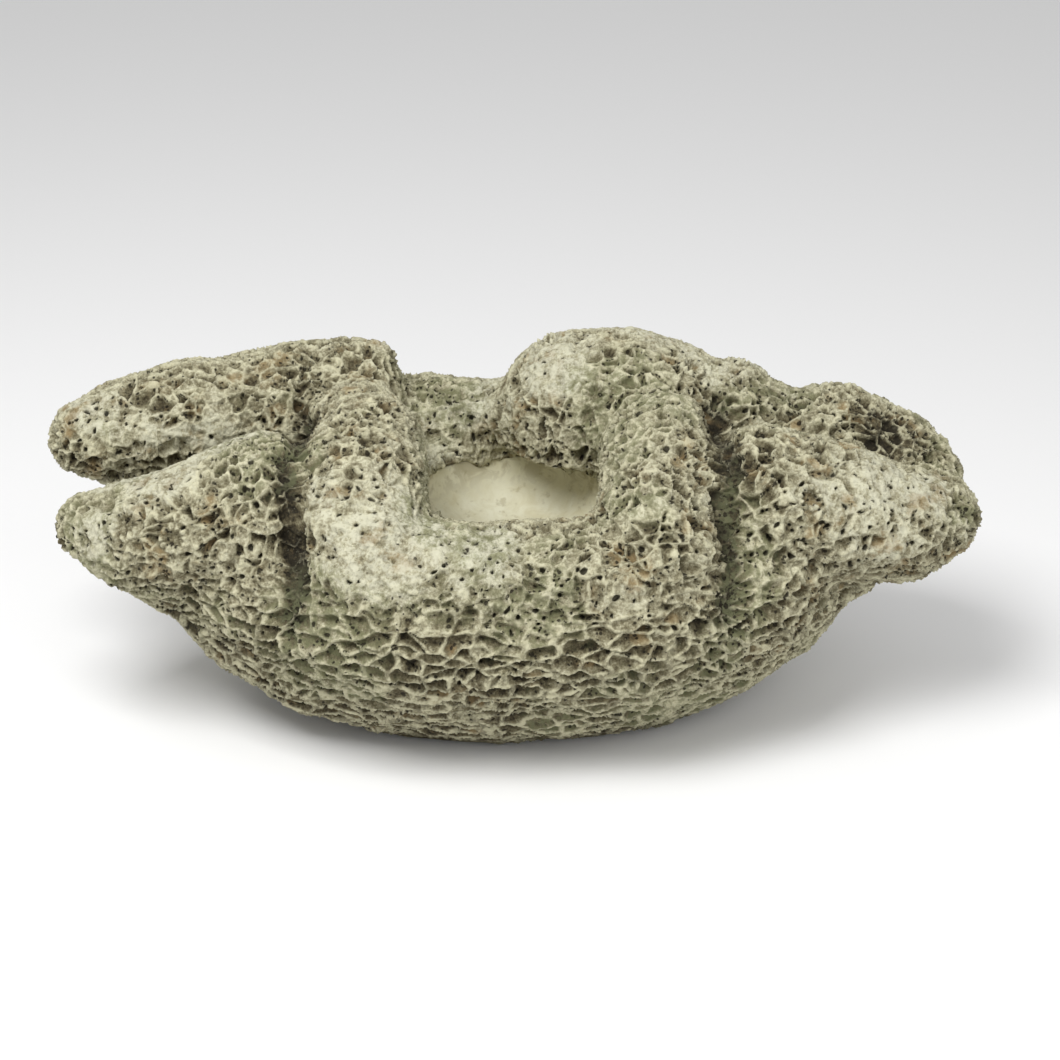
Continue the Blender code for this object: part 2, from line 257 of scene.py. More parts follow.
def cellsOf(chunk, size, seed, jitter, allPoints):
    lowest = np.floor(allPoints.min(axis=0) / size).astype(np.int32) - 1
    counts = np.floor(allPoints.max(axis=0) / size).astype(np.int32) - lowest + 2
    table = np.random.default_rng(seed).random((*counts, 3), dtype=np.float32)
    scaled = chunk / np.float32(size) - lowest.astype(np.float32)
    cell = np.floor(scaled).astype(np.int32)
    steps = np.array([(x, y, z) for x in (-1, 0, 1) for y in (-1, 0, 1) for z in (-1, 0, 1)], np.int32)
    around = cell[:, None, :] + steps[None]
    luck = table[around[..., 0], around[..., 1], around[..., 2]]
    away = scaled[:, None, :] - (around + 0.5 + jitter * (luck - 0.5)).astype(np.float32)
    squared = (away**2).sum(axis=2)
    order = np.argpartition(squared, 1, axis=1)[:, :2]
    rows = np.arange(len(chunk))
    pair = squared[rows[:, None], order]
    order = np.where((pair[:, 0] <= pair[:, 1])[:, None], order, order[:, ::-1])
    first, second = order[:, 0], order[:, 1]
    offset = away[rows, first]
    across = away[rows, second] - offset
    wall = (squared[rows, second] - squared[rows, first]) / (2 * np.sqrt((across**2).sum(axis=1)) + 1e-6)
    return np.sqrt(squared[rows, first]) * size, wall * size, offset * size, luck[rows, first]


# The lines that the castings are parted along.
def between(nodeBelow, nodeAbove, axis):
    return (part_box(nodeBelow)[1][axis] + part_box(nodeAbove)[0][axis]) / 2


leftRoot = between("left_back_wing", "left_shoulder", 0)
leftCleft = between("left_front_wing", "left_knuckle", 0)
leftDrop = between("left_shoulder", "back_rim", 0)
basinLeft = between("left_knuckle", "front_rim", 0)
saddle = between("back_rim", "back_dome", 0)
basinRight = between("front_rim", "right_knuckle", 0)
rightCleft = between("right_knuckle", "right_front_wing", 0)
rightRoot = between("right_shoulder", "right_back_wing", 0)
leftWingLine = between("left_front_wing", "left_back_wing", 1)
rightWingLine = between("right_front_wing", "right_back_wing", 1)
basinMiddle = between("front_rim", "back_rim", 1)
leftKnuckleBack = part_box("left_knuckle")[1].y
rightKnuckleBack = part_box("right_knuckle")[1].y
seamZ = between("hull", "left_front_wing", 2)

coralSettings = {
    "upperCell": 0.0094,
    "bellyCell": 0.0086,
    "bellySquash": (0.54, 0.54, 1.15),  # less than 1 makes the cells longer along that axis
    "ringCell": 0.030,  # room for one round corallite
    "ringLuck": 0.8,  # share of those that stay empty
    "ringSepta": 11,
    "spongeCell": 0.0040,
    "poreCell": 0.0050,
    "bend": 0.0058,  # how far cell walls wander
    "fineBend": 0.0020,
    "bowlDepth": 0.0046,
    "spongeDepth": 0.0010,
    "poreDepth": 0.0034,
    "ridgeHeight": 0.0005,
    "deepest": -0.0078,  # stays clear of the hollow
    "cleftWidth": 0.0062,
    "cleftDepth": 0.0062,
    # worn crowns: node, place in its box, reach in metres
    "wornSpots": [
        ("left_knuckle", (0.66, 0.10, 0.62), 0.040),
        ("left_front_wing", (0.16, 0.30, 0.60), 0.030),
        ("front_rim", (0.35, 0.20, 0.85), 0.030),
        ("back_dome", (0.25, 0.30, 0.90), 0.030),
    ],
    # hollows that are pressed in deeper and painted darker, given in the same way
    "deepSpots": [
        ("right_front_wing", (0.68, 1.00, 0.85), 0.027),
    ],
    "spotDepth": 0.0030,
}


# One round each place in a list of spots, fading out raggedly.
def spotMask(points, spots):
    mask = np.zeros(len(points), np.float32)
    for node, place, reach in spots:
        low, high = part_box(node)
        centre = np.array(low + (high - low) * Vector(place), np.float32)
        away = np.sqrt(((points - centre) ** 2).sum(axis=1)) + 0.010 * layered(points, 0.022, 23, 2)
        mask = np.maximum(mask, smooth(reach, reach * 0.55, away))
    return mask


# Crowns that are worn by handling, from broad noise and a few places that are worn smooth.
def wornMask(points, normals):
    worn = smooth(0.12, 0.5, layered(points, 0.05, 21) + 0.4 * (normals[:, 2] - 0.35))
    return np.maximum(worn, spotMask(points, coralSettings["wornSpots"]))


# The deep lines where the knuckles meet the shoulders, down the front and over the top.
def cleftMask(points, wobble):
    cleft = np.zeros(len(points), np.float32)
    for line in (leftCleft, rightCleft):
        across = points[:, 0] + 0.006 * wobble[:, 0] - line
        cleft = np.maximum(cleft, np.exp(-((across / coralSettings["cleftWidth"]) ** 2)))
    return cleft * smooth(0.045, 0.015, points[:, 1]) * smooth(0.080, 0.112, points[:, 2])


# How far the skin stands in or out at each point, and the masks that its colours follow.
def coralRelief(points, normals):
    s = coralSettings
    side = np.sqrt(np.clip(1 - normals[:, 2] ** 2, 0, 1))
    warp = np.stack([layered(points, 0.020, 11 + k, 2) for k in range(3)], axis=1)
    fineWarp = np.stack([lumps(points, 0.006, 31 + k) for k in range(3)], axis=1)
    bent = points + s["bend"] * warp + s["fineBend"] * fineWarp
    region = layered(points, 0.075, 3)
    belly = smooth(0.145, 0.095, points[:, 2] + 0.018 * region) * smooth(0.35, 0.75, side)
    deep = spotMask(points, s["deepSpots"])
    worn = wornMask(points, normals) * (1 - 0.8 * belly) * (1 - deep)
    cleft = cleftMask(points, warp)

    # upper cells are round, belly cells are wide and lean over like scales
    nearest, wall, offset, luck = cellsAt(bent, s["upperCell"], 5)
    squashed = bent * np.array(s["bellySquash"], np.float32)
    nearestB, wallB, offsetB, luckB = cellsAt(squashed, s["bellyCell"], 6)
    leanB = np.clip(offsetB[:, 2] / 0.0040, -1, 1)
    lean = np.clip(offset[:, 2] / 0.005, -1, 1) * side
    upperBowl = np.clip(wall / 0.0034, 0, 1) ** 0.6 * (0.10 + 1.35 * luck[:, 0]) * (1 + 0.3 * lean)
    bellyBowl = np.clip(wallB / 0.0030, 0, 1) ** 0.55 * (0.55 + 0.75 * luckB[:, 0]) * (1 + 0.55 * leanB)
    bowl = (1 - belly) * upperBowl + belly * bellyBowl
    bowl = bowl * (1 + 0.6 * cleft) * (1 - 0.65 * worn)
    ridge = (1 - belly) * np.exp(-((wall / 0.0008) ** 2)) + belly * np.exp(-((wallB / 0.0009) ** 2))
    ridge = ridge * (1 - 0.6 * worn) * (1 - 0.6 * cleft)

    # a few round corallites with radiating septa on the upper lobes
    nearestR, wallR, offsetR, luckR = cellsAt(points + 0.002 * warp, s["ringCell"], 8, 0.6)
    along = (offsetR * normals).sum(axis=1)
    flat = offsetR - normals * along[:, None]
    across = np.sqrt((flat**2).sum(axis=1)) / (0.0068 + 0.0030 * luckR[:, 1])
    tangent = np.cross(normals, np.array([0.13, 0.31, 0.94], np.float32))
    tangent /= np.sqrt((tangent**2).sum(axis=1))[:, None] + 1e-6
    angle = np.arctan2((flat * np.cross(normals, tangent)).sum(axis=1), (flat * tangent).sum(axis=1))
    inRing = (luckR[:, 0] > s["ringLuck"]) * (1 - belly) * smooth(1.35, 1.1, across)
    inRing = inRing * np.exp(-((along / 0.010) ** 2))
    spokes = np.cos(angle * s["ringSepta"])
    septa = spokes * smooth(0.15, 0.45, across) * smooth(1.15, 0.85, across)
    rim = np.exp(-(((across - 0.85) / 0.2) ** 2))
    ringBowl = 0.25 + smooth(0.8, 0.2, across) * 0.7 + 0.3 * smooth(0.95, 1.15, across)
    ringBowl = ringBowl - 0.25 * rim - 0.22 * septa
    bowl = bowl * (1 - inRing) + inRing * ringBowl
    ridge = ridge * (1 - inRing) + inRing * rim * (0.5 + 0.5 * spokes)

    # a sponge of small hollows over everything, and deeper open pores
    nearestS, wallS, offsetS, luckS = cellsAt(bent, s["spongeCell"], 7)
    sponge = np.clip(wallS / 0.0013, 0, 1) * smooth(0.15, 0.6, luckS[:, 0])
    nearestP, wallP, offsetP, luckP = cellsAt(bent, s["poreCell"], 9)
    poreRegion = smooth(-0.55, 0.25, layered(points, 0.03, 41, 2)) * (1 - 0.4 * belly)
    isOpen = luckP[:, 0] > 1 - 0.75 * poreRegion
    pore = smooth(1.2, 0.6, nearestP / (0.0008 + 0.0010 * luckP[:, 1])) * isOpen
    relief = 0.0010 - s["bowlDepth"] * bowl - s["spongeDepth"] * sponge * (1 - 0.6 * ridge)
    relief = relief - s["poreDepth"] * pore
    relief += s["ridgeHeight"] * ridge + 0.0006 * layered(points, 0.0040, 51, 2) - s["cleftDepth"] * cleft
    relief += 0.0019 * lumps(points, 0.026, 61) + 0.0011 * lumps(points, 0.011, 71) - s["spotDepth"] * deep
    relief = np.maximum(relief, s["deepest"])
    # pit: how far the paint darkens; the cell bowls get wash together with painted shade, the clefts between
    # knuckles and shoulders get painted shade, and the deep spots are darker
    pit = np.clip(bowl + 1.6 * cleft + 0.9 * deep, 0, 1.8)
    return relief, {"pit": pit, "ridge": ridge, "worn": worn, "pore": pore, "sponge": sponge}


edgeSettings = {
    "seatMargin": 0.0015,
    "undersideFade": 0.004,
    "tipSoftening": 0.7,
    "softBend": (45, 95),  # from a radius of 22 mm down to one of 11 mm
    "dripLength": 0.0110,
    "dripWidth": 0.017,
    "dripReach": 0.018,
}


# How sharply the surface bends outwards at each point, as one over the radius in metres.
def outwardBend(mesh, points, normals):
    ends = np.empty(len(mesh.edges) * 2, np.int32)
    mesh.edges.foreach_get("vertices", ends)
    first, second = ends.reshape(-1, 2).T
    reach = points[second] - points[first]
    square = (reach**2).sum(axis=1) / 2
    count = len(points)
    total = np.bincount(first, -(reach * normals[first]).sum(axis=1) / square, count)
    total += np.bincount(second, (reach * normals[second]).sum(axis=1) / square, count)
    return total / (np.bincount(first, minlength=count) + np.bincount(second, minlength=count))


# Nothing stands in or out in the liner's seat or on the flat underside. The edge of the coral hangs over
# the smooth bowl in ragged drips.
def coralSkin():
    s = edgeSettings
    points = pointsOf(skin.data)
    normals = normalsOf(skin.data)
    east = points[:, 0] - bowlMiddle.x
    north = points[:, 1] - bowlMiddle.y
    fromBowl = np.hypot(east, north)
    seatRadius = (linerHigh.x - linerLow.x) / 2 + s["seatMargin"]
    inSeat = (fromBowl < seatRadius) & (points[:, 2] < linerHigh.z + 0.0012)
    inSeat = inSeat & (points[:, 2] > linerLow.z - 0.002)
    free = (~inSeat) * smooth(hullLow.z, hullLow.z + s["undersideFade"], points[:, 2])
    relief, masks = coralRelief(points, normals)
    blunt = 1 - s["tipSoftening"] * smooth(*s["softBend"], outwardBend(skin.data, points, normals))
    moved = points + normals * (relief * free * blunt)[:, None]
    hanging = smooth(linerHigh.z + s["dripReach"], linerHigh.z + 0.002, points[:, 2])
    hanging = hanging * (points[:, 2] > linerHigh.z)
    hanging = hanging * smooth(seatRadius - 0.003, seatRadius - 0.007, fromBowl)
    drawnDown = points * np.array([1, 1, 0.1], np.float32)
    ragged = smooth(-0.1, 0.75, layered(drawnDown, s["dripWidth"], 91, 3))
    moved[:, 2] -= s["dripLength"] * ragged * hanging
    moved[:, 2] = np.maximum(moved[:, 2], hullLow.z)
    setPoints(skin.data, moved)
    for name, values in masks.items():
        setAttribute(skin.data, name, values)
    setAttribute(skin.data, "known", np.ones(len(moved)))


coralSkin()
tree = kdtree.KDTree(len(skin.data.vertices))
for index, vertex in enumerate(skin.data.vertices):
    tree.insert(vertex.co, index)
tree.balance()
marks = {}
for name in ("pit", "ridge", "worn", "pore", "sponge"):
    marks[name] = np.empty(len(skin.data.vertices), np.float32)
    skin.data.attributes[name].data.foreach_get("value", marks[name])
print("relief")

linerRoom = mergedCopy("basin_liner")
applyModifier(linerRoom, "DISPLACE", strength=bondGap, mid_level=0.0)
cut(skin, linerRoom, "DIFFERENCE")


# Each casting is the part of the skin that its own outline takes in, less the hollow.
outlines = {
    "left_front_wing": [(-far, -far), (leftCleft, -far), (leftCleft, leftWingLine), (-far, leftWingLine)],
    "left_back_wing": [(-far, leftWingLine), (leftRoot, leftWingLine), (leftRoot, far), (-far, far)],
    "left_shoulder": [
        (leftRoot, leftWingLine), (leftCleft, leftWingLine), (leftCleft, leftKnuckleBack),
        (leftDrop, leftKnuckleBack), (leftDrop, far), (leftRoot, far),
    ],
    "left_knuckle": [
        (leftCleft, -far), (basinLeft, -far), (basinLeft, leftKnuckleBack), (leftCleft, leftKnuckleBack),
    ],
    "front_rim": [(basinLeft, -far), (basinRight, -far), (basinRight, basinMiddle), (basinLeft, basinMiddle)],
    "back_rim": [
        (basinLeft, basinMiddle), (saddle, basinMiddle), (saddle, far), (leftDrop, far),
        (leftDrop, leftKnuckleBack), (basinLeft, leftKnuckleBack),
    ],
    "back_dome": [
        (saddle, basinMiddle), (basinRight, basinMiddle), (basinRight, rightKnuckleBack),
        (rightCleft, rightKnuckleBack), (rightCleft, far), (saddle, far),
    ],
    "right_knuckle": [
        (basinRight, -far), (rightCleft, -far), (rightCleft, rightKnuckleBack),
        (basinRight, rightKnuckleBack),
    ],
    "right_front_wing": [(rightCleft, -far), (far, -far), (far, rightWingLine), (rightCleft, rightWingLine)],
    "right_shoulder": [
        (rightCleft, rightWingLine), (rightRoot, rightWingLine), (rightRoot, far), (rightCleft, far),
    ],
    "right_back_wing": [(rightRoot, rightWingLine), (far, rightWingLine), (far, far), (rightRoot, far)],
}


# A closed block on a plan outline that runs anticlockwise, drawn in a hair all round.
def standingBlock(outline, low, high):
    corners = []
    for k, corner in enumerate(outline):
        before = Vector(corner) - Vector(outline[k - 1])
        after = Vector(outline[(k + 1) % len(outline)]) - Vector(corner)
        inward = sum((Vector((-side.y, side.x)).normalized() for side in (before, after)), Vector((0, 0)))
        corners.append(Vector(corner) + inward * clear)
    mesh = bpy.data.meshes.new("block")
    mesh.from_pydata([(c.x, c.y, low) for c in corners], [], [list(range(len(corners)))[::-1]])
    block = bpy.data.objects.new("block", mesh)
    bpy.context.scene.collection.objects.link(block)
    editAll(block)
    bpy.ops.mesh.extrude_region_move(TRANSFORM_OT_translate={"value": (0, 0, high - low)})
    bpy.ops.mesh.select_all(action="SELECT")
    bpy.ops.mesh.normals_make_consistent(inside=False)
    bpy.ops.object.mode_set(mode="OBJECT")
    return block


def pieceOf(source, name, outline, low, high):
    piece = bpy.data.objects.new(name, source.data.copy())
    bpy.context.scene.collection.objects.link(piece)
    cut(piece, standingBlock(outline, low, high), "INTERSECT")
    return piece


# Points that a cut has made take their marks from the nearest point of the skin.
def mendMarks(piece):
    mesh = piece.data
    count = len(mesh.vertices)
    known = np.zeros(count, np.float32)
    mesh.attributes["known"].data.foreach_get("value", known)
    made = np.flatnonzero(known < 0.999)
    points = pointsOf(mesh)
    nearest = np.array([tree.find(points[k])[1] for k in made], int)
    for name, source in marks.items():
        values = np.empty(count, np.float32)
        mesh.attributes[name].data.foreach_get("value", values)
        if len(made):
            values[made] = source[nearest]
        setAttribute(mesh, name, values)
    mesh.attributes.remove(mesh.attributes["known"])
    for layer in list(mesh.uv_layers):
        mesh.uv_layers.remove(layer)
    return len(made)


# Smooth shading that stays crisp where a flat bond face meets the coral.
def shadeCoral(piece):
    mesh = piece.data
    normals = np.empty(len(mesh.polygons) * 3, np.float32)
    mesh.polygons.foreach_get("normal", normals)
    bond = np.abs(normals.reshape(-1, 3)).max(axis=1) > 0.99999
    editAll(piece)
    bpy.ops.mesh.select_mode(type="FACE")
    bpy.ops.mesh.select_all(action="DESELECT")
    bpy.ops.object.mode_set(mode="OBJECT")
    mesh.polygons.foreach_set("select", bond)
    bpy.ops.object.mode_set(mode="EDIT")
    bpy.ops.mesh.region_to_loop()
    bpy.ops.mesh.mark_sharp()
    bpy.ops.object.mode_set(mode="OBJECT")
    mesh.polygons.foreach_set("use_smooth", ~bond)
    if "custom_normal" in mesh.attributes:
        mesh.attributes.remove(mesh.attributes["custom_normal"])
    mesh.update()


partingSettings = {
    "wellRadius": 0.042,  # the hole under the bowl, into the hollow
    "wellAbove": 0.008,
    "rebateAbove": 0.004,
    "hullKeep": 0.56,  # share of the hull's triangles that stays
    "slabMargin": 0.002,
}

cut(skin, hollow, "DIFFERENCE")
p = partingSettings
wellTop = linerLow.z + p["wellAbove"]
cut(skin, ovalBlock("well", p["wellRadius"], p["wellRadius"], bowlMiddle, seamZ, wellTop), "DIFFERENCE")
print("hollow cut", len(skin.data.polygons), "faces")
whole = [(-far, -far), (far, -far), (far, far), (-far, far)]
hullPiece = pieceOf(skin, "hull_coral", whole, -far, seamZ - clear)
plateRoom = (plateHigh - plateLow) / 2 + Vector((bondGap, bondGap, 0))
rebateTop = plateHigh.z + p["rebateAbove"]
cut(hullPiece, ovalBlock("rebate", plateRoom.x, plateRoom.y, plateMiddle, -0.01, rebateTop), "DIFFERENCE")
applyModifier(hullPiece, "DECIMATE", ratio=p["hullKeep"])
pieces = {"hull": hullPiece}
# Three overlapping slabs first, because a small mesh is parted much faster than the whole skin.
margin = p["slabMargin"]
slabs = [
    (-far, basinLeft + margin, ["left_front_wing", "left_back_wing", "left_shoulder", "left_knuckle"]),
    (leftDrop - margin, rightCleft + margin, ["front_rim", "back_rim", "back_dome"]),
    (basinRight - margin, far, ["right_knuckle", "right_front_wing", "right_shoulder", "right_back_wing"]),
]
for west, east, names in slabs:
    slabOutline = [(west, -far), (east, -far), (east, far), (west, far)]
    slab = pieceOf(skin, "slab", slabOutline, seamZ + clear, far)
    for name in names:
        pieces[name] = pieceOf(slab, name + "_coral", outlines[name], -far, far)
    bpy.data.objects.remove(slab)
bpy.data.objects.remove(skin)
for name, piece in pieces.items():
    fresh = mendMarks(piece)
    shadeCoral(piece)
    triangles = sum(len(face.vertices) - 2 for face in piece.data.polygons)
    print(name, triangles, "triangles", fresh, "new points")


# One socket that can take part in an expression.
class Wire:
    def __init__(self, tree, socket):
        self.tree = tree
        self.socket = socket

    # any node, from its type, its settings and the values or wires of its sockets
    def node(self, kind, settings, sockets, out=0):
        made = self.tree.nodes.new(kind)
        for name, value in settings.items():
            if name == "stops":
                setStops(made.color_ramp, value)
            else:
                setattr(made, name, value)
        for key, value in sockets.items():
            if isinstance(value, Wire):
                self.tree.links.new(value.socket, made.inputs[key])
            else:
                made.inputs[key].default_value = value
        return Wire(self.tree, made.outputs[out])

    def maths(self, operation, first, second):
        return self.node("ShaderNodeMath", {"operation": operation}, {0: first, 1: second})

    def __add__(self, other):
        return self.maths("ADD", self, other)

    def __radd__(self, other):
        return self.maths("ADD", other, self)

    def __sub__(self, other):
        return self.maths("SUBTRACT", self, other)

    def __rsub__(self, other):
        return self.maths("SUBTRACT", other, self)

    def __mul__(self, other):
        return self.maths("MULTIPLY", self, other)

    def __rmul__(self, other):
        return self.maths("MULTIPLY", other, self)

    def step(self, low, high):
        settings = {"interpolation_type": "SMOOTHSTEP"}
        return self.node("ShaderNodeMapRange", settings, {0: self, 1: low, 2: high})

    def blend(self, under, over):
        paints = [paint if isinstance(paint, Wire) else (*paint, 1.0) for paint in (under, over)]
        sockets = {0: self, 6: paints[0], 7: paints[1]}
        return self.node("ShaderNodeMix", {"data_type": "RGBA"}, sockets, out=2)

    def ramp(self, stops):
        return self.node("ShaderNodeValToRGB", {"stops": stops}, {0: self})

    def noise(self, scale, detail=3.0, rough=0.55, twist=0.0):
        sockets = {"Vector": self, "Scale": scale, "Detail": detail, "Roughness": rough, "Distortion": twist}
        return self.node("ShaderNodeTexNoise", {}, sockets)

    def cells(self, scale):
        return self.node("ShaderNodeTexVoronoi", {"feature": "F1"}, {"Vector": self, "Scale": scale})

    # the same place pushed about by noise, so round marks turn ragged
    def shifted(self, scale, amount):
        push = self.node("ShaderNodeTexNoise", {}, {"Vector": self, "Scale": scale, "Detail": 2.0}, out=1)
        sockets = {0: push, 1: (amount,) * 3, 2: self}
        return self.node("ShaderNodeVectorMath", {"operation": "MULTIPLY_ADD"}, sockets)


def setStops(ramp, stops):
    while len(ramp.elements) < len(stops):
        ramp.elements.new(0.5)
    for element, (place, paint) in zip(ramp.elements, stops):
        element.position = place
        element.color = (*paint, 1.0)


def startMaterial(name):
    material = bpy.data.materials.new(name)
    material.use_nodes = True
    tree = material.node_tree
    shader = tree.nodes["Principled BSDF"]
    start = Wire(tree, None)
    return material, shader, start


def mark(start, name):
    return start.node("ShaderNodeAttribute", {"attribute_name": name}, {}, out="Fac")


def finish(shader, start, paint, roughness, height, bumpDepth, bumpStrength):
    start.tree.links.new(paint.socket, shader.inputs["Base Color"])
    start.tree.links.new(roughness.socket, shader.inputs["Roughness"])
    sockets = {"Height": height, "Distance": bumpDepth, "Strength": bumpStrength}
    bump = start.node("ShaderNodeBump", {}, sockets)
    start.tree.links.new(bump.socket, shader.inputs["Normal"])


coralPaint = {
    "ivory": (0.58, 0.56, 0.40),
    "cream": (0.60, 0.57, 0.39),
    "beige": (0.36, 0.335, 0.225),
    "olive": (0.185, 0.165, 0.098),
    "brown": (0.085, 0.070, 0.038),
    "pit": (0.022, 0.018, 0.010),
    "chalk": (0.56, 0.555, 0.46),
    "ochre": (0.33, 0.235, 0.11),
    "moss": (0.21, 0.22, 0.115),
    "specular": 0.25,
}


def coralMaterial():
    p = coralPaint
    material, shader, start = startMaterial("coral resin")
    flatPlace = start.node("ShaderNodeTexCoord", {}, {}, out="Object")
    place = flatPlace.shifted(110, 0.004)
    pit = mark(start, "pit")
    ridge = mark(start, "ridge")
    worn = mark(start, "worn")
    pore = mark(start, "pore")
    sponge = mark(start, "sponge")
    broad = flatPlace.noise(13, 4)
    middle = flatPlace.noise(55, 4)
    dirt = flatPlace.noise(170, 5, 0.7)
    grit = flatPlace.noise(620, 4, 0.7)
    height = flatPlace.node("ShaderNodeSeparateXYZ", {}, {0: flatPlace}, out=2)
    belly = 1 - (height + (broad - 0.5) * 0.03).step(seamZ - 0.005, seamZ + 0.055)
    # wash that has run into the hollows together with painted shade there, and sooty or bleached patches
    depth = 0.16 + pit * 0.46 + sponge * 0.18 + (dirt - 0.5) * 1.4 + (middle - 0.5) * 0.7 + (grit - 0.5) * 1.1
    # painted shade: the belly is painted darker and the paint darkens further towards the bottom, while worn
    # crowns turn paler
    depth = depth - worn * 0.12 + belly * 0.21 + height.step(seamZ - 0.01, 0.004) * 0.17
    stops = [(0.0, p["ivory"]), (0.24, p["beige"]), (0.48, p["olive"]), (0.72, p["brown"]), (1.0, p["pit"])]
    paint = depth.ramp(stops)
    # broad tints: mossy grey, ochre and chalky patches
    paint = (broad.step(0.50, 0.62) * dirt.step(0.4, 0.55) * 0.55).blend(paint, p["moss"])
    paint = (middle.step(0.54, 0.68) * broad.step(0.56, 0.44) * 0.55).blend(paint, p["ochre"])
    paint = (worn * pit.step(0.7, 0.2) * dirt.step(0.60, 0.42) * 0.35).blend(paint, p["chalk"])
    # pale dry brushing along the ridges
    brushed = ridge.step(0.2, 0.75) * (0.12 + dirt.step(0.58, 0.44) * 0.5 + belly * 0.2)
    paint = brushed.blend(paint, p["cream"])
    # painted shadow along the bottom edge: the lowest 16 mm blend towards brown
    paint = (height.step(0.016, 0.003) * 0.6).blend(paint, p["brown"])
    # pin holes of two sizes and the open pores, painted near-black as painted shade inside them
    inFloors = 0.12 + pit.step(0.15, 0.5) * 0.88
    pinholes = place.cells(270).step(0.30, 0.18) * (middle.step(0.44, 0.52) * inFloors).step(0.2, 0.6)
    larger = place.cells(150).step(0.26, 0.17) * (dirt.step(0.46, 0.54) * inFloors).step(0.2, 0.6)
    holes = pinholes.maths("MAXIMUM", pinholes, larger)
    holes = pore.maths("MAXIMUM", pore.step(0.2, 0.7), holes)
    paint = (holes * 0.9).blend(paint, p["pit"])
    paint = (grit.step(0.62, 0.74) * (1 - holes) * 0.45).blend(paint, p["ivory"])
    roughness = 0.86 + (dirt - 0.5) * 0.25
    small = place.cells(330) * 0.35 + grit * 0.7 + dirt * 0.9 - holes * 0.9
    shader.inputs["Specular IOR Level"].default_value = p["specular"]
    finish(shader, start, paint, roughness, small, 0.0016, 0.9)
    return material


coral = coralMaterial()
print("coral painted")
for name, piece in pieces.items():
    piece.data.materials.clear()
    piece.data.materials.append(coral)
    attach(piece, "root")
    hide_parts(name)


linerPaint = {
    "pale": (0.66, 0.645, 0.50),
    "sand": (0.54, 0.505, 0.345),
    "stain": (0.27, 0.225, 0.12),
    "unevenness": 0.0007,
    "rimBevel": 0.0008,
    "specular": 0.3,
}


def smoothLiner():
    piece = mergedCopy("basin_liner")
    piece.name = "basin_liner_bowl"
    bevel = {"width": linerPaint["rimBevel"], "segments": 2, "limit_method": "ANGLE"}
    applyModifier(piece, "BEVEL", angle_limit=math.radians(50), **bevel)
    applyModifier(piece, "SUBSURF", levels=2, render_levels=2)
    points = pointsOf(piece.data)
    normals = normalsOf(piece.data)
    centre = np.array([bowlMiddle.x, bowlMiddle.y, linerHigh.z + 0.02], np.float32)
    towards = centre - points
    inside = smooth(0.0, 0.4, (towards * normals).sum(axis=1) / np.linalg.norm(towards, axis=1))
    uneven = layered(points, 0.018, 5, 3) * linerPaint["unevenness"] * inside
    setPoints(piece.data, points + normals * uneven[:, None])
    pick(piece)
    bpy.ops.object.shade_smooth()
    return piece


def linerMaterial():
    p = linerPaint
    material, shader, start = startMaterial("smooth bowl resin")
    place = start.node("ShaderNodeTexCoord", {}, {}, out="Object")
    broad = place.noise(28, 4, 0.6, 0.4)
    fine = place.noise(160, 4, 0.6)
    grit = place.noise(900, 2)
    patchy = place.noise(85, 5, 0.65, 0.8)
    paint = (broad * 0.5 + patchy * 0.5).ramp([(0.4, p["sand"]), (0.6, p["pale"])])
    height = place.node("ShaderNodeSeparateXYZ", {}, {0: place}, out=2)
    onWall = height.step(linerLow.z + 0.012, linerHigh.z)
    paint = (onWall * patchy.step(0.44, 0.6) * 0.6).blend(paint, p["stain"])
    paint = (fine.step(0.56, 0.7) * 0.4).blend(paint, p["stain"])
    shader.inputs["Specular IOR Level"].default_value = p["specular"]
    roughness = 0.62 + (fine - 0.5) * 0.3
    small = broad * 0.5 + fine * 0.35 + grit * 0.08
    finish(shader, start, paint, roughness, small, 0.0012, 0.5)
    return material


liner = smoothLiner()
liner.data.materials.append(linerMaterial())
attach(liner, "root")
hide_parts("basin_liner")
print("liner")


undersidePaint = {
    "plate": (0.075, 0.068, 0.052),
    "plateDust": (0.16, 0.15, 0.12),
    "rubber": (0.022, 0.022, 0.021),
    "rubberDust": (0.07, 0.068, 0.062),
    "plateBevel": 0.0008,
    "padBevel": 0.0007,
}


def undersideMaterial(name, dark, dust, roughness, grain):
    material, shader, start = startMaterial(name)
    place = start.node("ShaderNodeTexCoord", {}, {}, out="Object")
    cloud = place.noise(60, 4, 0.6)
    fine = place.noise(grain, 3)
    paint = (cloud.step(0.42, 0.7) * 0.7).blend(dark, dust)
    finish(shader, start, paint, roughness + (cloud - 0.5) * 0.25, fine + cloud * 0.5, 0.0004, 0.6)
    return material


def bevelledCopy(node, name, width):
    piece = mergedCopy(node)
    piece.name = name
    applyModifier(piece, "BEVEL", width=width, segments=3, limit_method="ANGLE", angle_limit=math.radians(40))
    pick(piece)
    bpy.ops.object.shade_smooth_by_angle(angle=math.radians(35))
    return piece


u = undersidePaint
plateMaterial = undersideMaterial("base resin", u["plate"], u["plateDust"], 0.75, 700)
padMaterial = undersideMaterial("pad rubber", u["rubber"], u["rubberDust"], 0.7, 1200)
plate = bevelledCopy("base_plate", "base_plate_cast", u["plateBevel"])
plate.data.materials.append(plateMaterial)
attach(plate, "root")
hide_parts("base_plate")
for corner in ("front_left", "front_right", "back_left", "back_right"):
    pad = bevelledCopy("pad_" + corner, "pad_" + corner + "_rubber", u["padBevel"])
    pad.data.materials.append(padMaterial)
    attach(pad, "root")
    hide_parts("pad_" + corner)
print("underside")


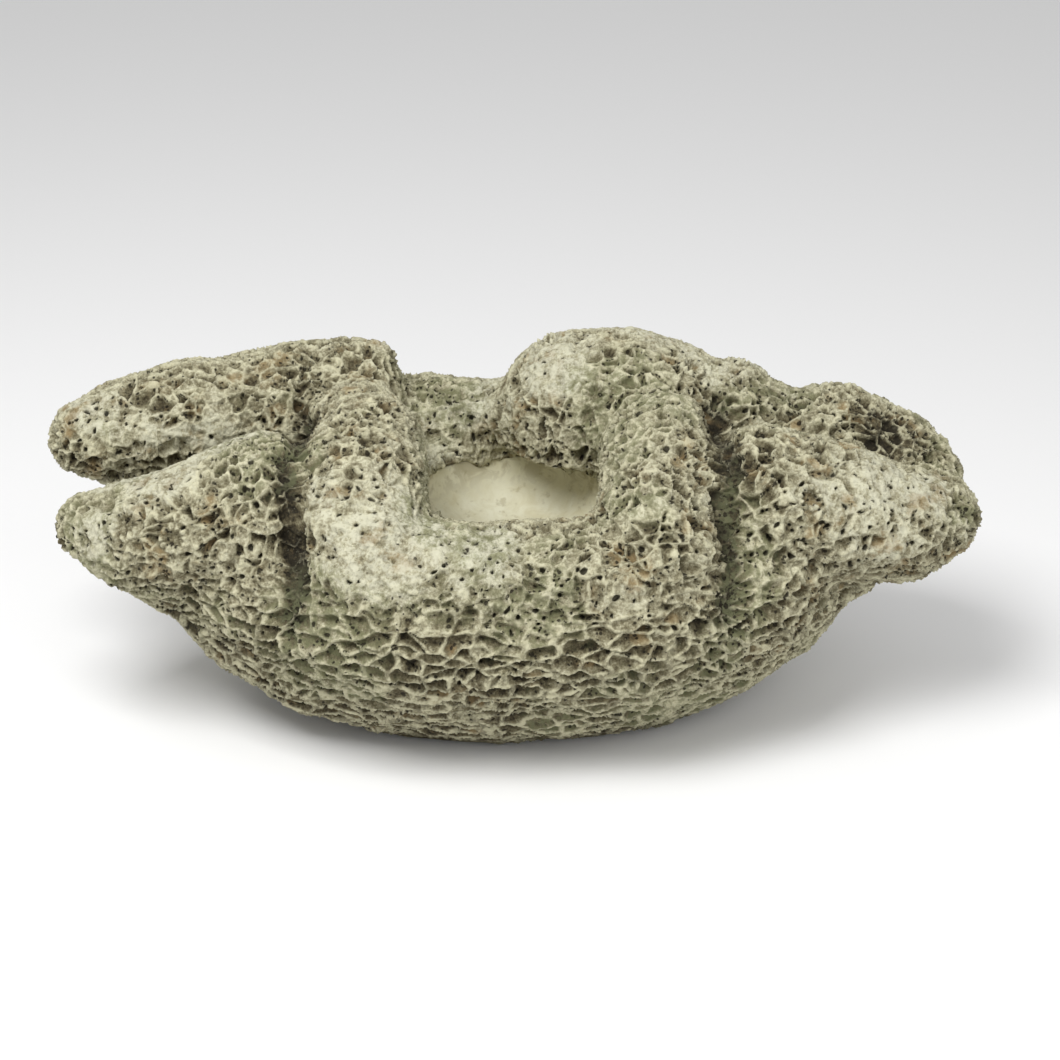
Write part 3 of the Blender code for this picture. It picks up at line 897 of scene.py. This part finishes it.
view = {
    "framedWidth": 0.641,
    "elevation": 25,
    "lens": 85,
    "sensor": 36,
    "aim": (0.0138, 0.0, 0.107),
    "keyPlace": (-0.5, -0.7, 1.5),
    "keyEnergy": 23,
    "fillPlace": (0.9, -0.9, 0.8),
    "fillEnergy": 5,
    "worldLight": 0.57,
    "floorSize": 16,
}


def setCamera():
    v = view
    camera = bpy.data.cameras.new("camera")
    camera.lens = v["lens"]
    camera.sensor_width = v["sensor"]
    holder = bpy.data.objects.new("camera", camera)
    bpy.context.scene.collection.objects.link(holder)
    tilt = math.radians(v["elevation"])
    distance = v["framedWidth"] * v["lens"] / v["sensor"]
    aim = Vector(v["aim"])
    holder.location = aim + distance * Vector((0, -math.cos(tilt), math.sin(tilt)))
    holder.rotation_euler = (math.pi / 2 - tilt, 0, 0)
    bpy.context.scene.camera = holder


def addSoftLight(name, place, size, energy):
    deselectAll()
    bpy.ops.object.light_add(type="AREA", location=place)
    lamp = bpy.context.object
    lamp.name = name
    lamp.data.size = size
    lamp.data.energy = energy
    lamp.rotation_euler = (Vector((0, 0, 0.1)) - Vector(place)).to_track_quat("-Z", "Y").to_euler()


def setStudio():
    v = view
    deselectAll()
    bpy.ops.mesh.primitive_plane_add(size=v["floorSize"], location=(0, 0, 0))
    floor = bpy.context.object
    floor.name = "floor"
    bpy.ops.object.transform_apply(location=True, rotation=True, scale=True)
    material, shader, start = startMaterial("pale floor")
    shader.inputs["Base Color"].default_value = (0.86, 0.86, 0.86, 1)
    shader.inputs["Roughness"].default_value = 0.9
    floor.data.materials.append(material)
    world = bpy.data.worlds.new("studio")
    world.use_nodes = True
    world.node_tree.nodes["Background"].inputs["Color"].default_value = (1, 1, 1, 1)
    world.node_tree.nodes["Background"].inputs["Strength"].default_value = v["worldLight"]
    bpy.context.scene.world = world
    addSoftLight("key", v["keyPlace"], 0.8, v["keyEnergy"])
    addSoftLight("fill", v["fillPlace"], 1.0, v["fillEnergy"])
    bpy.context.scene.view_settings.view_transform = "Standard"


setCamera()
setStudio()
print("studio")
